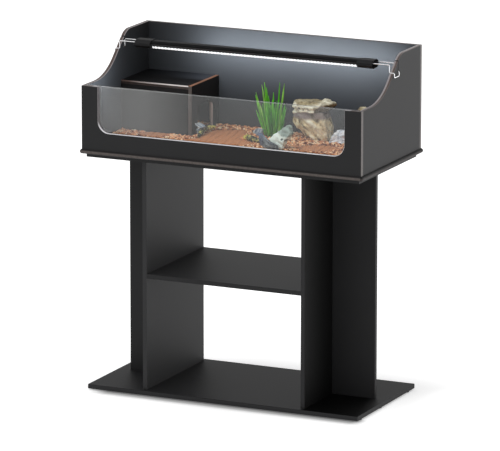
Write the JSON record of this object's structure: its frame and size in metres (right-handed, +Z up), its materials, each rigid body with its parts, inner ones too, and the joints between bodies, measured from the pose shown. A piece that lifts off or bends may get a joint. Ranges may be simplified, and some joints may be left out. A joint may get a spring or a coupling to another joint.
{
  "type": "tortoise table on a stand",
  "caption": "Open-topped reptile terrarium on a two-legged stand, with a glazed window, a hide box, a lamp on wire hangers and loose decor.",
  "frame": {"origin": "on the floor, under the middle of the tray", "axes": "+Z up, -Y towards the window side, +X to the right when facing the window"},
  "size_m": [1.014, 0.5, 1.163],
  "materials": {
    "laminate": "black laminated chipboard, fine satin grain",
    "moulding": "dark brown-grey laminated nose",
    "edging": "brown edge band",
    "copper_edging": "copper brown edge band",
    "glide": "moulded black plastic",
    "fitting": "zinc plated steel",
    "dowel": "beech",
    "tape": "black foam tape",
    "glass": "clear float glass",
    "lamp_black": "black anodised aluminium",
    "cap_plastic": "moulded black plastic",
    "driver_case": "grey plastic",
    "grommet": "black rubber",
    "light_board": "white circuit board",
    "light_chip": "light chips",
    "diffuser": "frosted white, lit",
    "wire": "polished stainless wire",
    "bark": "bark and clay granules",
    "grass": "soft green grass",
    "sandstone": "rough sandstone",
    "pale_slate": "pale split slate",
    "dark_slate": "dark split slate",
    "pale_stone": "pale blue-white stone"
  },
  "bodies": {
    "stand": {"base_board": "laminate", "base_glides": "glide", "base_screws": "fitting", "left_leg_panel": "laminate", "right_leg_panel": "laminate", "left_leg_wing": "laminate", "right_leg_wing": "laminate", "wing_dowels": "dowel", "middle_shelf": "laminate", "shelf_dowels": "dowel", "shelf_cams": "fitting", "shelf_cam_bolts": "fitting", "sub_top_board": "laminate", "top_screws": "fitting", "moulding_board": "moulding", "moulding_screws": "fitting"},
    "tray": {"floor_panel": "laminate", "front_panel": "laminate", "left_side_panel": "laminate", "right_side_panel": "laminate", "back_panel": "laminate", "tray_dowels": "dowel", "front_edging": "edging", "left_side_edging": "edging", "right_side_edging": "edging", "back_edging": "edging", "glazing_tape": "tape", "front_glass": "glass", "hide_front_panel": "laminate", "hide_divider": "laminate", "hide_edging": "copper_edging", "lid_battens": "laminate", "bedding": "bark", "hide_bedding": "bark"},
    "lid": {"hide_lid": "laminate", "lid_edging": "edging"},
    "lamp": {"lamp_housing": "lamp_black", "lamp_driver": "driver_case", "left_end_cap": "cap_plastic", "right_end_cap": "cap_plastic", "left_wire_block": "cap_plastic", "right_wire_block": "cap_plastic", "cap_screws": "fitting", "cord_grommet": "grommet", "led_board": "light_board", "led_chips": "light_chip", "led_diffuser": "diffuser"},
    "left_hanger": {"left_bracket": "wire"},
    "right_hanger": {"right_bracket": "wire"},
    "plant": {"grass_plant": "grass"},
    "cave_rock": {"cave_rock_body": "sandstone", "cave_rock_top": "sandstone"},
    "slate": {"slate_wedge": "pale_slate", "slate_slab": "dark_slate"},
    "pale_stone": {"pale_rock": "pale_stone"},
    "corner_stone": {"corner_rock": "sandstone"},
    "left_chip": {"left_shard": "dark_slate"},
    "middle_chip": {"middle_shard": "dark_slate"}
  },
  "joints": [
    {"name": "tray_lift", "type": "slide", "parent": "stand", "child": "tray", "axis": [0, 0, 1], "range_m": [0, 0.1]},
    {"name": "lid_lift", "type": "slide", "parent": "tray", "child": "lid", "axis": [0, 0, 1], "range_m": [0, 0.09]},
    {"name": "lamp_lift", "type": "slide", "parent": "tray", "child": "lamp", "axis": [0, 0, 1], "range_m": [0, 0.08]},
    {"name": "left_hanger_slide", "type": "slide", "parent": "lamp", "child": "left_hanger", "axis": [-1, 0, 0], "range_m": [0, 0.02]},
    {"name": "right_hanger_slide", "type": "slide", "parent": "lamp", "child": "right_hanger", "axis": [1, 0, 0], "range_m": [0, 0.02]},
    {"name": "plant_lift", "type": "slide", "parent": "tray", "child": "plant", "axis": [0, 0, 1], "range_m": [0, 0.06]},
    {"name": "cave_rock_lift", "type": "slide", "parent": "tray", "child": "cave_rock", "axis": [0, 0, 1], "range_m": [0, 0.1]},
    {"name": "slate_lift", "type": "slide", "parent": "tray", "child": "slate", "axis": [0, 0, 1], "range_m": [0, 0.1]},
    {"name": "pale_stone_lift", "type": "slide", "parent": "tray", "child": "pale_stone", "axis": [0, 0, 1], "range_m": [0, 0.03]},
    {"name": "corner_stone_lift", "type": "slide", "parent": "tray", "child": "corner_stone", "axis": [0, 0, 1], "range_m": [0, 0.1]},
    {"name": "left_chip_lift", "type": "slide", "parent": "tray", "child": "left_chip", "axis": [0, 0, 1], "range_m": [0, 0.1]},
    {"name": "middle_chip_lift", "type": "slide", "parent": "tray", "child": "middle_chip", "axis": [0, 0, 1], "range_m": [0, 0.1]}
  ]
}
